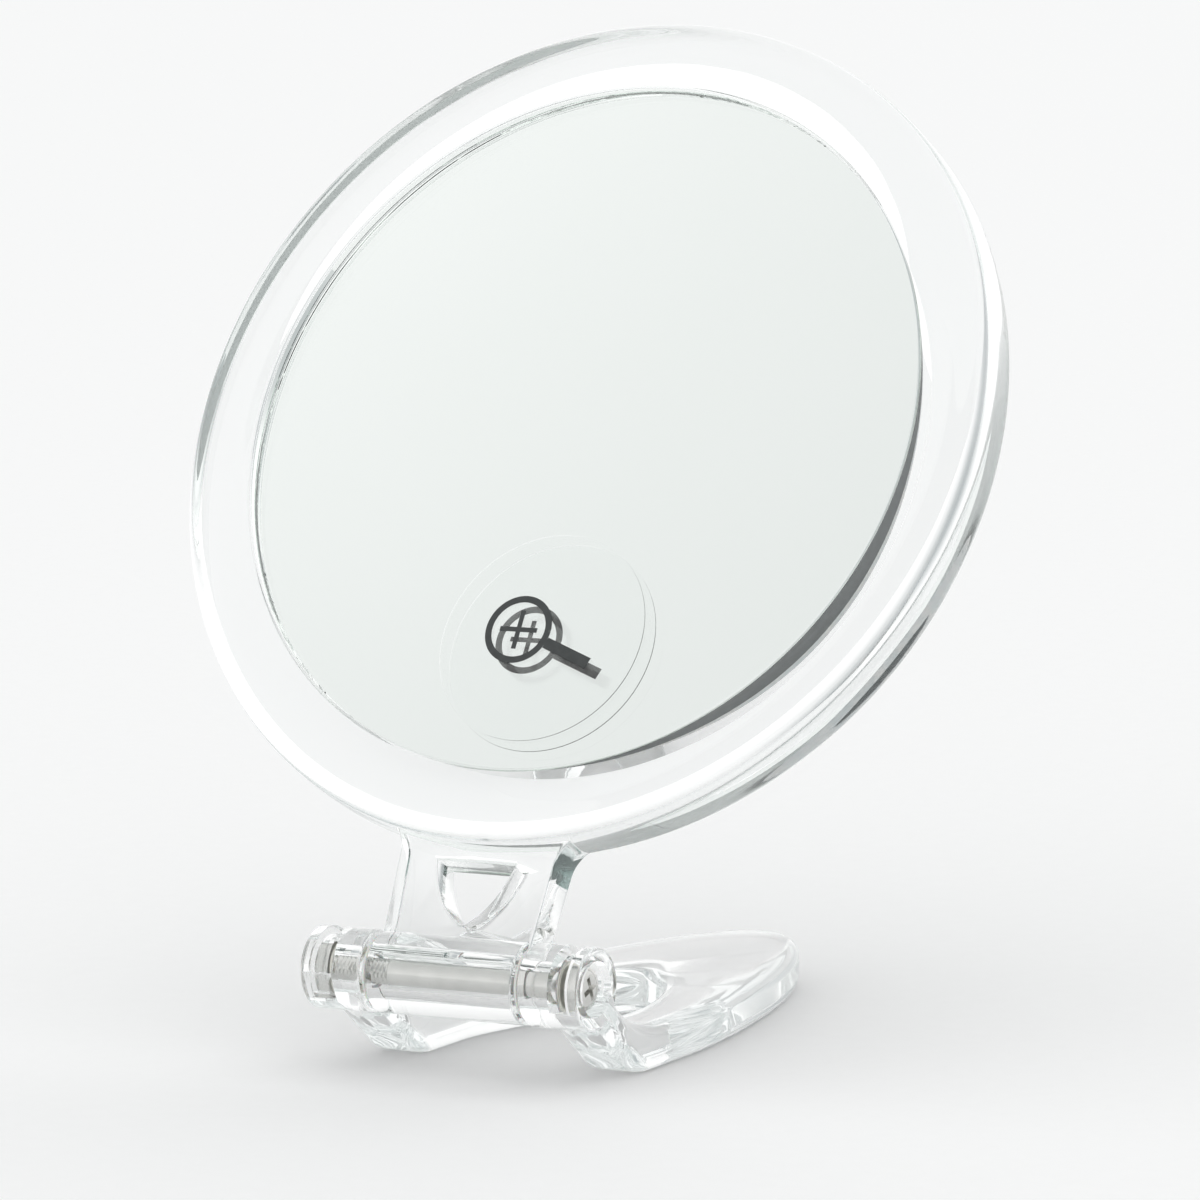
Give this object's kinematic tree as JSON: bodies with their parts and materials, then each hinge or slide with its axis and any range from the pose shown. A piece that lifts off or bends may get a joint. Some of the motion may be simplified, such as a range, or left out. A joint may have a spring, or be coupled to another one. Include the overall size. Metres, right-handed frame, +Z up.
{
  "type": "two-sided folding hand mirror",
  "caption": "Round two-sided mirror in a clear acrylic ring, with a short neck pivoting on a cross pin in a clear forked handle that folds flat or serves as a table stand.",
  "frame": {"origin": "centre of the object's box in X and Y, on the table plane that the stand rests on", "axes": "+Z up; +X along the hinge pin towards the screw's head; -Y is the side the magnifying mirror looks to, +Y the way the stand's leaf runs"},
  "size_m": [0.14, 0.107, 0.1574],
  "materials": {
    "clear_acrylic": "clear moulded acrylic, polished",
    "silvered_glass": "silvered glass, polished",
    "steel": "bright zinc-plated steel",
    "nylon": "natural nylon, matt",
    "foam": "thin foam ring, matt",
    "label_film": "clear film sticker, glossy"
  },
  "bodies": {
    "stand": {"stand": "clear_acrylic", "hinge_screw": "steel", "hinge_nut": "steel", "head_washer": "steel", "nut_washer": "steel", "right_friction_washer": "nylon", "left_friction_washer": "nylon"},
    "head": {"front_frame": "clear_acrylic", "rear_rim": "clear_acrylic", "magnifying_mirror": "silvered_glass", "plane_mirror": "silvered_glass", "mirror_spacer": "foam", "magnification_label": "label_film"}
  },
  "joints": [
    {"name": "stand_hinge", "type": "hinge", "parent": "stand", "child": "head", "pos_m": [0, -0.04702, 0.0159], "axis": [1, 0, 0], "range_deg": [-62, 119.5]}
  ]
}
